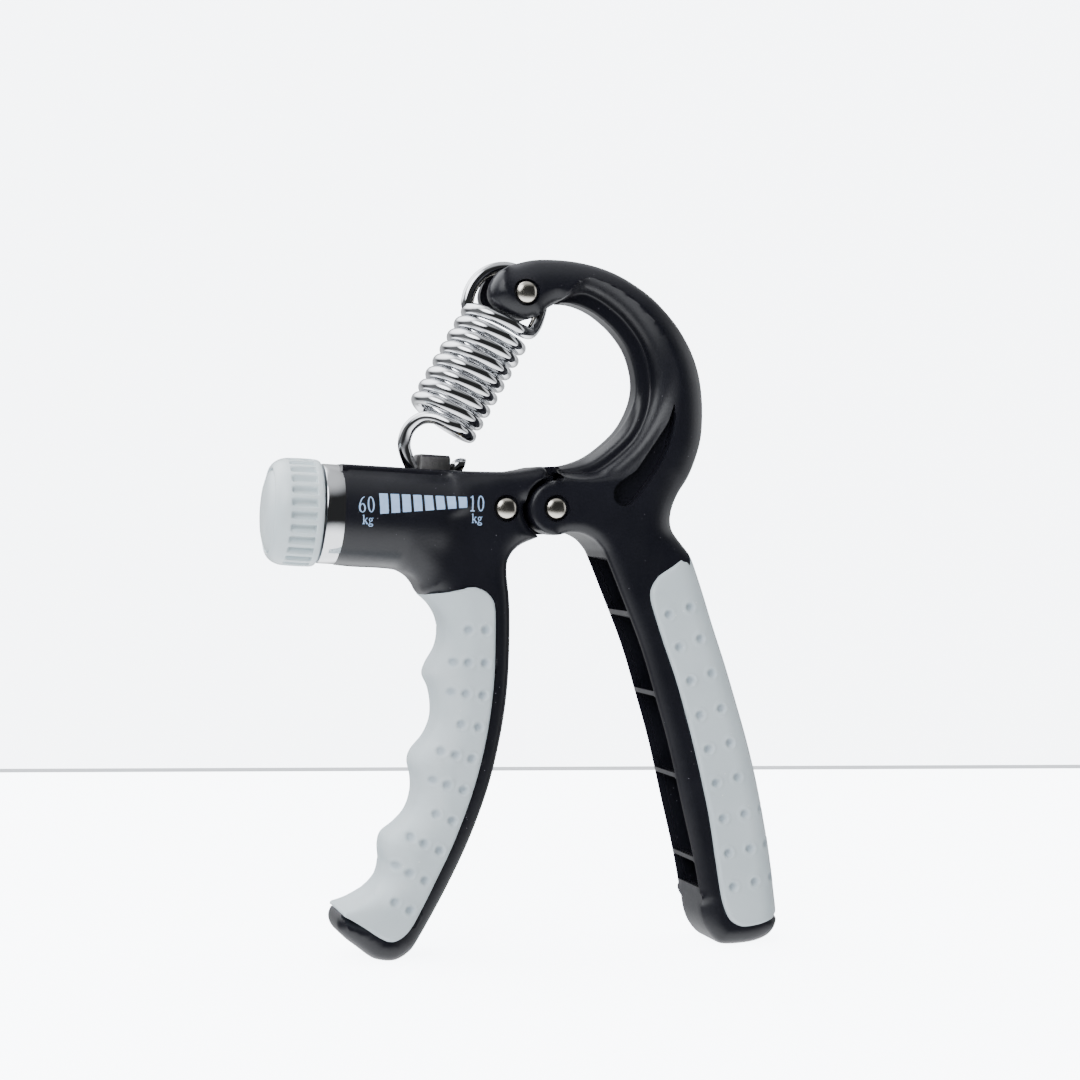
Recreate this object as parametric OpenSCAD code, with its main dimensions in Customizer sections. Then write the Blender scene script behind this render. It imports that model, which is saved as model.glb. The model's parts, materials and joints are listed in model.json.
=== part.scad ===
// Adjustable hand grip strengthener, standing on its two handle ends.
// Millimetres, +Z up. The floor is Z = 0 and the mid-plane is Y = 0.
// Outlines are drawn in the XZ plane about the main hinge line, where x = 0,
// and every part is then moved by hinge_x, which centres the object over the origin.

/* [Frame] */
// Distance of the main hinge line from the centre of the object
hinge_x = 5; // [4:0.5:6]
// Height of the main hinge line
hinge_z = 95.6; // [95:0.1:96]
// Width of both handles, measured through the sides
handle_t = 18.6; // [17:0.2:19]
// How far the soft grips stand out past each side of a handle
grip_proud = 1; // [0.6:0.1:1.4]
// Width of the hollow channel inside each handle
channel_w = 14; // [12:0.5:15]

/* [Adjuster] */
// Radius of the barrel that holds the screw
barrel_r = 10.7; // [10.3:0.1:11]
// Angle of the barrel above the horizontal at the knob end
barrel_tilt = 3.3; // [3:0.1:3.6]
// Radius of the knob
knob_r = 11.5; // [11:0.1:12]
// Number of grip flutes round the knob
flute_count = 26; // [20:2:30]
// Radius of the lead screw
screw_r = 2.5; // [2:0.1:2.8]
// Width of the slider block that points at the scale
slider_w = 8; // [7:0.2:8.4]
// Number of bars on the scale
bar_count = 8; // [6:1:8]

/* [Spring] */
// Wire radius
wire_r = 1.3; // [1.2:0.05:1.35]
// Radius of the coil, measured to the middle of the wire
coil_r = 6.9; // [6.5:0.1:7.2]
// Distance between neighbouring turns
coil_pitch = 3.2; // [3:0.05:3.3]
// Number of turns, with the last one in a node of its own
coil_turns = 6.75; // [5.75:0.5:6.75]
// Lean of the spring from the vertical
spring_lean = 30; // [28:0.5:32]

/* [Pins] */
// Radius of the pins
pin_r = 2; // [1.8:0.1:2.2]
// Radius of the domed pin heads
head_r = 2.35; // [2.2:0.05:2.5]
// Running clearance between a pin or screw and its bore
run_gap = 0.06; // [0.03:0.01:0.1]

/* [Hidden] */
$fn = 64;

black = [0.05, 0.05, 0.06];
grip_grey = [0.72, 0.74, 0.73];
steel = [0.78, 0.79, 0.8];
frosted = [0.8, 0.81, 0.82];

grip_t = handle_t + 2 * grip_proud;
// Hinge, link rivet and spring pin, as [x, z] about the hinge line
hinge = [0, hinge_z];
rivet = [-11, hinge_z];
spring_pin_at = [-6.5, 141.6];
// The barrel frame starts at the middle of the barrel's outer end
barrel_at = [-46, 94.3];
slot_start = 3;
slot_end = 28.8;
slot_floor = -4.6;
slot_w = slider_w + 0.8;
// The slot is longer above this height, to let the overhanging block pass
ledge = 7.6;
ledge_end = 30.8;
// Middle of the slider block along the barrel
slider_at = 19.9;
block_len = 6.7;
block_top = 13.9;
nut_end = slider_at - 1;
nut_len = 4.8;
// Centre of the lower hook in the barrel frame, inside which the slider block sits
hook_at = [slider_at, 12.9];
hook_r = 6.2;
wire_slot_w = 3.8;
// Bottom of the coil and the centre of the upper loop, as [x, z]
coil_foot = [-23, 114.45];
end_turn = 1;
loop_at = [-8.7, 139.4];
loop_r = 7.8;
fork_w = 6;
link_t = 5.6;
collar_r = 10.6;
knuckle_slot_w = link_t + 0.4;
knuckle_r = 5.8;
knuckle_gap = 0.8;
// The knuckle slot is this far from the hinge line, to clear the link's upper lug
slot_r = 8.6;
head_t = 1.1;
bevel = 0.4;
eps = 0.02;

// A smooth curve through the points p, with n steps between neighbours
function mix(a, b, c, d, t) = 0.5 * (2 * b + (c - a) * t + (2 * a - 5 * b + 4 * c - d) * t * t
    + (3 * b - a - 3 * c + d) * t * t * t);
function curve(p, n = 3) = let (m = len(p) - 1) [
  for (i = [0:m - 1], k = [0:n - 1]) mix(p[max(i - 1, 0)], p[i], p[i + 1], p[min(i + 2, m)], k / n),
  p[m]
];
// An arc about c from angle a to angle b
function arc(c, r, a, b, n = 12) = [
  for (i = [0:n]) c + r * [cos(a + (b - a) * i / n), sin(a + (b - a) * i / n)]
];

// Handle outlines, as lists of [x, z]
front_top = [
  [-24, 103.7], [-9, 103.5], [-5, 104], [-2.2, 104.7], [1.3, 104.8], [0.8, 103.5], [-0.6, 102.4]
];
front_inner = curve([
  [-3, 89.6], [-7.3, 87.9], [-9.6, 85.6], [-10.3, 82.5], [-9.8, 75], [-9.8, 66], [-10.3, 57],
  [-11.7, 47.5], [-14.4, 36.5], [-18.5, 25.6], [-23.7, 15], [-29.8, 4.4], [-32, 1.6], [-34.4, 0]
]);
front_toe = curve([[-39, 0], [-43, 3.3], [-46.4, 5.9], [-47.9, 8.2], [-47.5, 10.6]]);
front_core_left = curve([
  [-45, 10], [-41, 10.5], [-38, 13], [-34.5, 20], [-31.5, 27], [-27.5, 35], [-24.5, 43],
  [-21.3, 51], [-20.5, 60], [-19.6, 69], [-21, 75.5], [-25, 80], [-33, 84]
]);
front_grip_left = curve([
  [-27.8, 77.2], [-25, 74.2], [-23.5, 70.4], [-24, 65.8], [-26.4, 61], [-25.4, 56.5],
  [-25, 51.5], [-27.5, 45.5], [-30, 41.6], [-29.4, 36.5], [-30.6, 31], [-34.6, 27.2],
  [-36.6, 23.5], [-37, 18], [-40.2, 13.2], [-46, 10.4]
]);
front_grip_right = curve([
  [-47.8, 11.7], [-44.9, 10], [-41.7, 7.7], [-38.7, 5.4], [-36.3, 4.5], [-34, 5.1], [-31.4, 8],
  [-27.7, 14.9], [-22.4, 25.4], [-18.3, 36.1], [-15.5, 46.9], [-13.9, 58.2], [-13.5, 69],
  [-14.1, 76], [-16.5, 78.5], [-20, 78.7], [-25.2, 77.6]
]);
arm_outer = curve([
  [-9, 147.8], [-4, 149.1], [1, 149.3], [6.2, 148.9], [11, 147.9], [19.1, 144.2], [27.3, 137.4],
  [32.6, 128.9], [34.7, 119.2], [34.3, 110.6], [31.5, 102.4], [28.4, 97.6], [27.3, 93], [28.5, 89],
  [31.2, 83.5]
]);
rear_core_outer = curve([
  [31.2, 78], [35, 67.5], [38.2, 57.5], [42.4, 43.5], [45.6, 30], [47.6, 17], [48.4, 7]
]);
rear_toe = curve([[51.2, 5.6], [50.6, 3.3], [48.8, 1.4], [46, 0.3], [43.5, 0]]);
rear_heel = curve([[38.5, 0], [36.3, 1.3], [34.7, 3.4], [33.7, 6]]);
rear_inner = curve([
  [32.5, 11], [31.2, 19.5], [28.8, 31], [25.9, 43.6], [22.8, 54.5], [19.4, 65.6], [14.6, 77.7],
  [11.4, 85.4], [9, 88.4], [6.5, 90.1], [3.2, 90.5]
]);
arm_inner = curve([
  [2.1, 104.4], [8.9, 106.7], [14, 109.6], [18.4, 115.8], [19.9, 123.4], [17.7, 130.8],
  [13, 136.2], [6, 139.5], [1.5, 140], [-2, 137.9]
]);
// The edge of the arm's round bead; inside it the arm is only a thin rim
rim_edge = curve([
  [7.5, 103.6], [10.3, 103.9], [16.2, 107.4], [21.3, 114.6], [23.1, 123.4], [20.5, 132.5], [14.9, 138.9],
  [6.5, 142.8], [3.6, 142.9]
]);
rim_inside = [[3.6, 138], [12, 134], [17, 124], [14, 113], [7.5, 108]];
rim_t = 5.2;
arm_tip = curve([[-4.5, 136.4], [-8.3, 136.4], [-12.2, 138.4], [-13.8, 141.8], [-12.4, 145.6], [-9, 147.8]]);
rear_grip_outer = curve([
  [29.5, 86.2], [31.4, 85.6], [36.4, 70.3], [42, 53], [46.6, 36.2], [49.9, 18.7], [51.2, 8], [51.4, 5.9]
]);
rear_grip_inner = curve([
  [50, 5.7], [45.3, 4.3], [41.5, 4.2], [38.8, 6.3], [37, 11.7], [34.6, 27.1], [31, 43.1],
  [26.5, 59.1], [21.7, 73.1], [20.9, 77.4], [23, 81], [28.5, 84.6]
]);

// Move from the hinge line's frame to the object's frame
module about_hinge() translate([hinge_x, 0, 0]) children();

// A flat shape in [x, z], t thick, centred on the mid-plane
module slab(t) rotate([90, 0, 0]) linear_extrude(t, center = true) children();

// A round bar or bore along Y through the point p = [x, z]
module crossbar(p, r, len) translate([p[0], 0, p[1]]) rotate([90, 0, 0])
  cylinder(r = r, h = len, center = true);

// The barrel's own frame: +X runs along its axis from the knob end
module in_barrel() translate([barrel_at[0], 0, barrel_at[1]]) rotate([0, barrel_tilt, 0]) children();

// A round bar along the barrel from a to b
module rod(r, a, b) translate([a, 0, 0]) rotate([0, 90, 0]) cylinder(r = r, h = b - a);

// A block along the barrel from a to b, w wide, between heights low and high
module bar(a, b, w, low, high) translate([a, -w / 2, low]) cube([b - a, w, high - low]);

// A pin with a bevelled head at each end, flush with the sides of a slab t thick
module headed_pin(p, t) {
  crossbar(p, pin_r, t - 2 * head_t);
  for (side = [-1, 1]) translate([p[0], side * (t / 2 - head_t), p[1]]) rotate([-90 * side, 0, 0]) {
    cylinder(r = head_r, h = head_t - bevel);
    translate([0, 0, head_t - bevel - eps]) cylinder(r1 = head_r, r2 = head_r - 0.9, h = bevel + 0.25);
  }
}

// The bore and head recesses for a headed pin
module pin_bore(p, t, r) {
  crossbar(p, r, t + 2);
  for (side = [-1, 1]) translate([p[0], side * (t / 2 + 1 - head_t / 2), p[1]])
    rotate([90, 0, 0]) cylinder(r = head_r + 0.3, h = head_t + 2, center = true);
}

// A bent wire in the XZ plane: an arc about the point c from angle a to angle b
module wire_arc(c, r, a, b) translate([c[0], 0, c[1]]) rotate([90, 0, 0])
  rotate([0, 0, a]) rotate_extrude(angle = b - a) translate([r, 0]) circle(r = wire_r, $fn = 24);

module front_handle_outline() polygon(concat(
  front_top, arc(hinge, knuckle_r + knuckle_gap, 108, 240), front_inner, front_toe, front_core_left));

module front_handle() color(black) about_hinge() difference() {
  union() {
    in_barrel() rod(barrel_r, 0.4, 25);
    slab(handle_t) front_handle_outline();
  }
  // Slot for the slider along the top, and a narrow one for the hook's tip
  in_barrel() bar(slot_start, slot_end, slot_w, slot_floor, 20);
  in_barrel() bar(slot_start, ledge_end, slot_w, ledge, 20);
  in_barrel() bar(slot_end - 1, 36.2, wire_slot_w, 5.4, 20);
  in_barrel() rod(3.6, 0, slot_start + 1);
  in_barrel() rod(1.6, slot_end - 1, slot_end + 1.5);
  // Slot for the link between the handles
  slab(link_t + 0.02) translate([-15.6, 90]) square([20, 18]);
  pin_bore(rivet, handle_t, pin_r);
  // Hollow channel with cross ribs, open towards the other handle
  difference() {
    slab(channel_w) polygon(concat(
      curve([[-4, 80], [-6, 66], [-6.5, 56], [-9, 44], [-14, 30], [-20, 18], [-26.5, 8]]),
      curve([[-31, 12.5], [-28, 20], [-22, 33], [-18.6, 45], [-16.5, 56], [-16, 66], [-16.5, 76]])));
    for (h = [20, 37, 54.5, 71.5]) slab(channel_w + 2) translate([-36, h]) square([40, 1.6]);
  }
}

module front_grip() color(grip_grey) about_hinge() difference() {
  slab(grip_t) polygon(concat(front_grip_left, front_grip_right));
  slab(handle_t) front_handle_outline();
}

module barrel_collar() color(steel) about_hinge() in_barrel() difference() {
  rod(collar_r, -4, 0.4);
  rod(screw_r + 0.5, -5, 1);
}

module scale_marks() color([0.6, 0.72, 0.85]) about_hinge() in_barrel() for (i = [0:bar_count - 1])
  intersection() {
    difference() {
      rod(barrel_r + 0.1, 0, 30);
      rod(barrel_r, -1, 31);
    }
    translate([7.3 + 2.55 * i, -20, 2.4 - (1.95 - 0.11 * i)]) cube([1.1, 20, 2 * (1.95 - 0.11 * i)]);
  }

module screw_bush() color([0.75, 0.62, 0.35]) about_hinge() in_barrel() difference() {
  rod(3.6, 0.5, slot_start - 0.1);
  rod(screw_r + run_gap, -1, 5);
}

module tail_bush() color([0.75, 0.62, 0.35]) about_hinge() in_barrel() difference() {
  bar(26.8, slot_end, slot_w, slot_floor, 3);
  rod(1.5 + run_gap, 26, 30);
}

module hinge_link() color(black) about_hinge() difference() {
  slab(link_t) union() {
    translate(rivet) circle(r = 4.2);
    translate(hinge) circle(r = 4.2);
    translate([-11, hinge_z - 4.2]) square([11, 8.4]);
    translate([-7, hinge_z]) square([8, 7]);
  }
  crossbar(rivet, pin_r, 20);
  crossbar(hinge, pin_r + run_gap, 20);
}

module link_rivet() color(steel) about_hinge() headed_pin(rivet, handle_t);

module knob() color(frosted) about_hinge() in_barrel() difference() {
  union() {
    rod(knob_r - 0.5, -14.2, -4.4);
    rod(knob_r, -13.6, -5);
  }
  // Recess for the cap, socket for the screw's head, and grip flutes
  rod(8.4, -15, -11);
  rod(3.4, -12, -6);
  rod(screw_r, -7, -3);
  for (i = [0:flute_count - 1]) rotate([360 / flute_count * i, 0, 0])
    translate([0, 0, knob_r + 0.5]) rod(1, -12.4, -6.2);
}

module knob_cap() color(frosted) about_hinge() in_barrel() rotate([0, -90, 0]) translate([0, 0, 11])
  rotate_extrude() polygon(concat([[0, 0], [8.3, 0]], arc([0, -14.6], 19.4, 64.5, 90, 8)));

module lead_screw() color(steel) about_hinge() in_barrel() {
  rod(3.4, -10.6, -6);
  rod(screw_r, -6, 26.6);
  rod(1.5, 26.6, slot_end + 1);
}

module retaining_clip() color(steel) about_hinge() in_barrel() difference() {
  rod(3.5, slot_start + 0.1, slot_start + 0.6);
  rod(screw_r, 0, 6);
}

module slider() color([0.4, 0.41, 0.43]) about_hinge() in_barrel() difference() {
  union() {
    bar(slider_at - block_len / 2, slider_at + block_len / 2, slider_w, 8, block_top);
    bar(nut_end - nut_len, nut_end, slider_w, -4.2, 8.1);
  }
  // Channel for the spring's hook, around a round saddle, and the seat of the nut
  difference() {
    bar(slider_at - 10, slider_at + 10, wire_slot_w, 5, 10.9);
    intersection() {
      translate([hook_at[0], 0, hook_at[1]]) rotate([90, 0, 0])
        cylinder(r = hook_r - wire_r - 0.05, h = slider_w, center = true);
      bar(slider_at - block_len / 2, slider_at + block_len / 2, slider_w, 0, 12);
    }
  }
  rod(3.4, nut_end - nut_len - 1, nut_end + 1);
  for (side = [-1, 1]) translate([slider_at, side * slider_w / 2, block_top]) rotate([45, 0, 0])
    cube([20, 1.2, 1.2], center = true);
}

module slider_nut() color([0.75, 0.62, 0.35]) about_hinge() in_barrel() difference() {
  rod(3.4, nut_end - nut_len, nut_end);
  rod(screw_r + run_gap, 0, 30);
}

module spring_lower_hook() color(steel) about_hinge() in_barrel() union() {
  wire_arc(hook_at, hook_r, 125, 347);
  translate([hook_at[0] + hook_r * cos(125), 0, hook_at[1] + hook_r * sin(125)])
    rotate([0, 8, 0]) cylinder(r = wire_r, h = 3, $fn = 24);
}

// A round wire wound on a helix, as a ring of points for every step along it
module helix(r, wire, pitch, turns, steps = 20, sides = 8) {
  last = turns * steps;
  slope = pitch / (2 * PI * r);
  points = [for (i = [0:last], j = [0:sides - 1]) let (a = 360 * i / steps, b = 360 * j / sides)
    [(r + wire * cos(b)) * cos(a) + wire * sin(b) * slope * sin(a),
     (r + wire * cos(b)) * sin(a) - wire * sin(b) * slope * cos(a),
     pitch * i / steps + wire * sin(b)]];
  sleeve = [for (i = [0:last - 1], j = [0:sides - 1]) let (k = (j + 1) % sides)
    [i * sides + j, (i + 1) * sides + j, (i + 1) * sides + k, i * sides + k]];
  ends = [[for (j = [0:sides - 1]) j], [for (j = [sides - 1:-1:0]) last * sides + j]];
  polyhedron(points, concat(sleeve, ends), convexity = 10);
}

// The spring's frame: +Z runs along its axis from the foot of the coil, where the wire is at -X
module in_spring() translate([coil_foot[0], 0, coil_foot[1]]) rotate([0, spring_lean, 0])
  rotate([0, 0, 180]) children();

module spring_coil() color(steel) about_hinge() in_spring()
  helix(coil_r, wire_r, coil_pitch, coil_turns - end_turn - 0.05);

module spring_end_turn() color(steel) about_hinge() in_spring()
  translate([0, 0, coil_pitch * (coil_turns - end_turn)]) rotate([0, 0, 360 * (coil_turns - end_turn)])
    helix(coil_r, wire_r, coil_pitch, end_turn);

module spring_upper_loop() color(steel) about_hinge() wire_arc(loop_at, loop_r, -62, 175);

module rear_handle_outline() polygon(concat(
  arm_outer, rear_core_outer, rear_toe, rear_heel, rear_inner, arc(hinge, knuckle_r, 283, 90), arm_inner,
  arm_tip));

module rear_handle() color(black) about_hinge() difference() {
  slab(handle_t) rear_handle_outline();
  // Fork for the spring's upper loop, and the knuckle's slot for the link
  slab(fork_w) translate([-16, 130]) square([18.6, 22]);
  crossbar(hinge, slot_r, knuckle_slot_w);
  pin_bore(spring_pin_at, handle_t, pin_r);
  pin_bore(hinge, handle_t, pin_r);
  // Recess that leaves the thin rim along the inner edge of the arm
  for (side = [-1, 1]) translate([0, side * (rim_t / 2 + 5), 0]) slab(10)
    polygon(concat(rim_edge, rim_inside));
  // Crescent pocket in each side of the arm's root
  for (side = [-1, 1]) translate([0, side * handle_t / 2, 0]) slab(4) polygon(curve([
    [26.6, 118.4], [23.2, 111.3], [18.7, 104.3], [14.1, 101.3], [12.7, 98.5], [15.1, 96.1],
    [18.7, 98.7], [23.2, 104.8], [26.1, 111.7], [26.6, 118.4]]));
  // Hollow channel with cross ribs, open towards the other handle
  difference() {
    slab(channel_w) polygon(concat(
      curve([[8, 86], [10, 75], [16, 60], [20.6, 45], [25, 28], [28, 13.5]]),
      curve([[43.5, 13.5], [42, 26], [38.4, 42], [34, 56.5], [29, 70], [24, 80], [20, 84.5]])));
    for (rib = [[17, 73], [23, 55.5], [28, 37.6], [31.8, 19.2]])
      slab(channel_w + 2) translate(rib - [6, 0.8]) rotate(-16) square([30, 1.6]);
  }
}

module rear_grip() color(grip_grey) about_hinge() difference() {
  slab(grip_t) polygon(concat(rear_grip_outer, rear_grip_inner));
  slab(handle_t) rear_handle_outline();
}

module hinge_pin() color(steel) about_hinge() headed_pin(hinge, handle_t);

module spring_pin() color(steel) about_hinge() headed_pin(spring_pin_at, handle_t);

module pin_sleeve() color(steel) about_hinge() difference() {
  crossbar(spring_pin_at, pin_r + 0.5, fork_w - 0.2);
  crossbar(spring_pin_at, pin_r, fork_w + 1);
}

front_handle();
front_grip();
barrel_collar();
scale_marks();
screw_bush();
tail_bush();
hinge_link();
link_rivet();
knob();
knob_cap();
lead_screw();
retaining_clip();
slider();
slider_nut();
spring_coil();
spring_lower_hook();
spring_end_turn();
spring_upper_loop();
rear_handle();
rear_grip();
hinge_pin();
spring_pin();
pin_sleeve();
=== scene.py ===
import math
import bmesh
import bpy
import numpy as np
from mathutils import Euler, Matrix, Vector
from mathutils.geometry import delaunay_2d_cdt
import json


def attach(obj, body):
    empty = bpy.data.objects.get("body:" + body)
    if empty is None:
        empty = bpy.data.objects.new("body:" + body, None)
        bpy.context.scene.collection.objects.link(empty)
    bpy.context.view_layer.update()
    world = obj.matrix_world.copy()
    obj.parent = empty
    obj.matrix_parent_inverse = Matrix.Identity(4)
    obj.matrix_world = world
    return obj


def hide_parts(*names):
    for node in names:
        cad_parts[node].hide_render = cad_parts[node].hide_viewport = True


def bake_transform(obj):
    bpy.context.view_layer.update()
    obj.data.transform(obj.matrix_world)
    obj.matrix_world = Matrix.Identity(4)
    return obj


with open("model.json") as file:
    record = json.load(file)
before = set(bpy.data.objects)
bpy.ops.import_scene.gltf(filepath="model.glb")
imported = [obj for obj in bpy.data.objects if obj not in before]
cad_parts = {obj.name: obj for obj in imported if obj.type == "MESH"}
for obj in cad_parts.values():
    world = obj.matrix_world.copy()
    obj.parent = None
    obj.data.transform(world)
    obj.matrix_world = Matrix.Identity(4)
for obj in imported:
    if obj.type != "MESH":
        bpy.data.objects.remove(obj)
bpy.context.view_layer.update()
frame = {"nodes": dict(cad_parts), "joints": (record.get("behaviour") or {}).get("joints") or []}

# Lengths below are millimetres in the hinge frame: x = 0 at the hinge pin, z = 0 at the floor, and y = 0 in
# the mid-plane.
MM = 0.001
JOINTS = {j["name"]: j for j in frame["joints"]}
HINGE_X = JOINTS["squeeze"]["pos_m"][0]
HINGE = (0.0, JOINTS["squeeze"]["pos_m"][2] / MM)
RIVET = (-11.0, HINGE[1])
SPRING_PIN = (-6.5, 141.6)
# Barrel frame: u runs along the axis from the knob end, w up from the axis
BARREL_AT = (-46.0, 94.3)
TILT = math.radians(3.3)
BARREL_R = 10.7
SLIDER_AT = 19.9
# Half thicknesses of the handles and the grips, and half widths of what is cut into them
HANDLE_HALF = 9.3
GRIP_HALF = 10.3
SLOT_HALF = 4.4
HOOK_SLOT_HALF = 1.9
LINK_SLOT_HALF = 2.82
FORK_HALF = 3
FLAP_HALF = 2.6
POCKET_FLOOR = 6.3
BEYOND = 12


def to_world(points):
    """Hinge-frame millimetres to metres in the object's frame."""
    p = np.asarray(points, float) * MM
    p[:, 0] += HINGE_X
    return p


def barrel_point(u, w):
    """The [x, z] of a point u along the barrel's axis and w above it."""
    c, s = math.cos(TILT), math.sin(TILT)
    return BARREL_AT[0] + u * c + w * s, BARREL_AT[1] - u * s + w * c


def barrel_uw(x, z):
    """Distance along the barrel's axis and height above it, for [x, z] arrays."""
    c, s = math.cos(TILT), math.sin(TILT)
    dx, dz = x - BARREL_AT[0], z - BARREL_AT[1]
    return dx * c - dz * s, dx * s + dz * c


# ---------------------------------------------------------------- curves and outlines

def curve(points, n=8):
    """A smooth Catmull-Rom curve through the points."""
    p = [np.array(q, float) for q in points]
    last = len(p) - 1
    out = []
    for i in range(last):
        a, b, c, d = p[max(i - 1, 0)], p[i], p[i + 1], p[min(i + 2, last)]
        for k in range(n):
            t = k / n
            out.append(0.5 * (2 * b + (c - a) * t + (2 * a - 5 * b + 4 * c - d) * t * t
                              + (3 * b - a - 3 * c + d) * t ** 3))
    out.append(p[last])
    return np.array(out)


def arc(centre, r, start, end, n=24):
    """An arc about centre, angles in degrees."""
    a = np.radians(np.linspace(start, end, n + 1))
    return np.stack([centre[0] + r * np.cos(a), centre[1] + r * np.sin(a)], 1)


def resample(points, step, closed=True):
    """Points about one step apart along a line."""
    p = np.vstack([points, points[:1]]) if closed else np.asarray(points)
    seg = np.linalg.norm(np.diff(p, axis=0), axis=1)
    along = np.concatenate([[0], np.cumsum(seg)])
    n = max(3, int(round(along[-1] / step)))
    t = np.linspace(0, along[-1], n + 1)
    out = np.stack([np.interp(t, along, p[:, k]) for k in range(p.shape[1])], 1)
    return out[:-1] if closed else out


def distance(points, line, closed=False):
    """Distance from each point to a polyline."""
    line = np.asarray(line)
    a = line
    b = np.roll(line, -1, 0) if closed else line[1:]
    a = a if closed else line[:-1]
    best = np.full(len(points), 1e9)
    for i in range(0, len(a), 64):
        p0, p1 = a[i:i + 64], b[i:i + 64]
        d = p1 - p0
        length = np.maximum((d ** 2).sum(1), 1e-12)
        rel = points[:, None, :] - p0[None]
        t = np.clip((rel * d[None]).sum(2) / length, 0, 1)
        gap = np.linalg.norm(rel - t[..., None] * d[None], axis=2)
        best = np.minimum(best, gap.min(1))
    return best


def nearest(points, *lines):
    """Distance from each point to the nearest of several open lines."""
    return np.minimum.reduce([distance(points, line) for line in lines])


def inside(points, outline):
    """Whether each point lies inside a closed outline."""
    x, z = points[:, 0], points[:, 1]
    a, b = outline, np.roll(outline, -1, 0)
    crossings = np.zeros(len(points), int)
    for (x0, z0), (x1, z1) in zip(a, b):
        if z0 == z1:
            continue
        hit = ((z0 > z) != (z1 > z)) & (x < (x1 - x0) * (z - z0) / (z1 - z0) + x0)
        crossings += hit
    return crossings % 2 == 1


def smooth(t):
    t = np.clip(t, 0, 1)
    return t * t * (3 - 2 * t)


def drop(d, r, depth):
    """How far a rounded edge of radius r falls below the face, at distance d from the edge."""
    t = np.clip(1 - d / r, 0, 1)
    return depth * (1 - np.sqrt(np.maximum(0, 1 - t * t)))


def bump(t, centre, width):
    """A soft hill of height 1 at centre, zero beyond width to each side."""
    return smooth(1 - np.abs(t - centre) / width)


# ---------------------------------------------------------------- outlines of the handles

FRONT_TOP = curve([(-45.6, 104.98), (-36, 104.45), (-24, 103.75), (-14, 103.45), (-9.5, 103.5), (-6, 103.95),
                   (-3.4, 104.5), (-2.2, 104.45), (-1.2, 102.9)])
FRONT_ARC = arc(HINGE, 6.8, 104, 242)
FRONT_INNER = curve([(-3.4, 89.4), (-7.3, 87.8), (-9.6, 85.6), (-10.4, 82.5), (-9.8, 75), (-9.8, 66),
                     (-10.3, 57), (-11.7, 47.5), (-14.4, 36.5), (-18.5, 25.6), (-23.7, 15), (-29.8, 4.4),
                     (-32, 1.6), (-34.6, 0.15), (-36.8, 0)])
FRONT_TOE = curve([(-36.8, 0), (-39.5, 0.6), (-43, 3.2), (-45.6, 5.3), (-46.8, 7.0), (-47.0, 8.7),
                   (-46.4, 10.2)])
FRONT_LEFT = curve([(-45.4, 9.9), (-42.5, 9.4), (-39.5, 11), (-36.5, 15), (-33.5, 20.5), (-30.5, 27),
                    (-26.5, 35), (-23.5, 43), (-21, 51), (-20, 60), (-19.4, 68), (-20.4, 72.8),
                    (-23.6, 75.4)])
FRONT_BELLY = curve([(-26.6, 76.3), (-28.2, 77.6), (-29.2, 79.4), (-30.8, 81.2), (-33.4, 82.4), (-37.5, 82.9),
                     (-42.5, 83.15), (-46.9, 83.6)])
FRONT_OUTLINE = np.vstack([FRONT_TOP, FRONT_ARC, FRONT_INNER, FRONT_TOE[1:], FRONT_LEFT, FRONT_BELLY])

FRONT_GRIP_LEFT = curve([(-27.9, 77.2), (-25.5, 75), (-23.8, 72), (-23.4, 68.8), (-24.1, 65.6), (-25.9, 62.5),
                         (-26.7, 59.9), (-25.5, 57), (-24.9, 53.6), (-25.1, 50.2), (-26.6, 46.8),
                         (-29.2, 43.7), (-30, 41.2), (-29.4, 38), (-29.4, 34.6), (-30.6, 31), (-33, 28.3),
                         (-35.8, 26.1), (-36.6, 23.5), (-36.5, 20.2), (-37.3, 17), (-39.6, 14),
                         (-42.8, 11.9), (-45.7, 10.9)])
FRONT_GRIP_RIGHT = curve([(-46.1, 10.2), (-44.5, 9.3), (-41.7, 7.5), (-38.7, 5.4), (-36.4, 4.4), (-34.3, 4.9),
                          (-32.2, 6.7), (-30, 10.3), (-26.2, 17.6), (-22.4, 25.4), (-18.3, 36.1),
                          (-15.5, 46.9), (-13.9, 58.2), (-13.5, 69), (-13.6, 74.4), (-14.3, 76.6),
                          (-16, 78.2), (-18.4, 78.9), (-20.8, 78.5), (-24, 77.8), (-27.2, 77.4)])

ARM_OUTER = curve([(-9, 147.75), (-4, 149.05), (1, 149.3), (6.2, 148.9), (11, 147.9), (15.2, 146.4),
                   (19.3, 144.2), (23.4, 141.3), (27.3, 137.4), (30.2, 133.5), (32.6, 128.9), (34.1, 123.9),
                   (34.75, 118), (34.5, 111.5), (33.2, 106.5), (31.4, 102.3), (29.2, 98.9), (27.8, 95.8),
                   (27.3, 93), (27.7, 90.7), (28.8, 88.6), (30.2, 86.3)])
REAR_CORE = curve([(30, 82), (32.4, 75), (35, 67.5), (38.2, 57.5), (42.4, 43.5), (45.6, 30), (47.6, 17),
                   (48.6, 8)])
REAR_FOOT = curve([(50.3, 6), (51, 5.3), (50.5, 3.3), (49, 1.6), (46.4, 0.5), (43, 0), (38.6, 0), (36.7, 0.9),
                   (34.9, 3.2), (33.8, 6), (33.3, 9)])
REAR_INNER = curve([(33, 11.5), (31.5, 19.5), (28.8, 31), (25.9, 43.6), (22.8, 54.5), (19.4, 65.6),
                    (14.6, 77.7), (11.4, 85.4), (10.2, 87.3), (8.6, 88.9), (6, 90.1), (3.2, 90.3),
                    (1.2, 89.9)])
KNUCKLE = arc(HINGE, 5.8, 272, 96)
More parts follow.
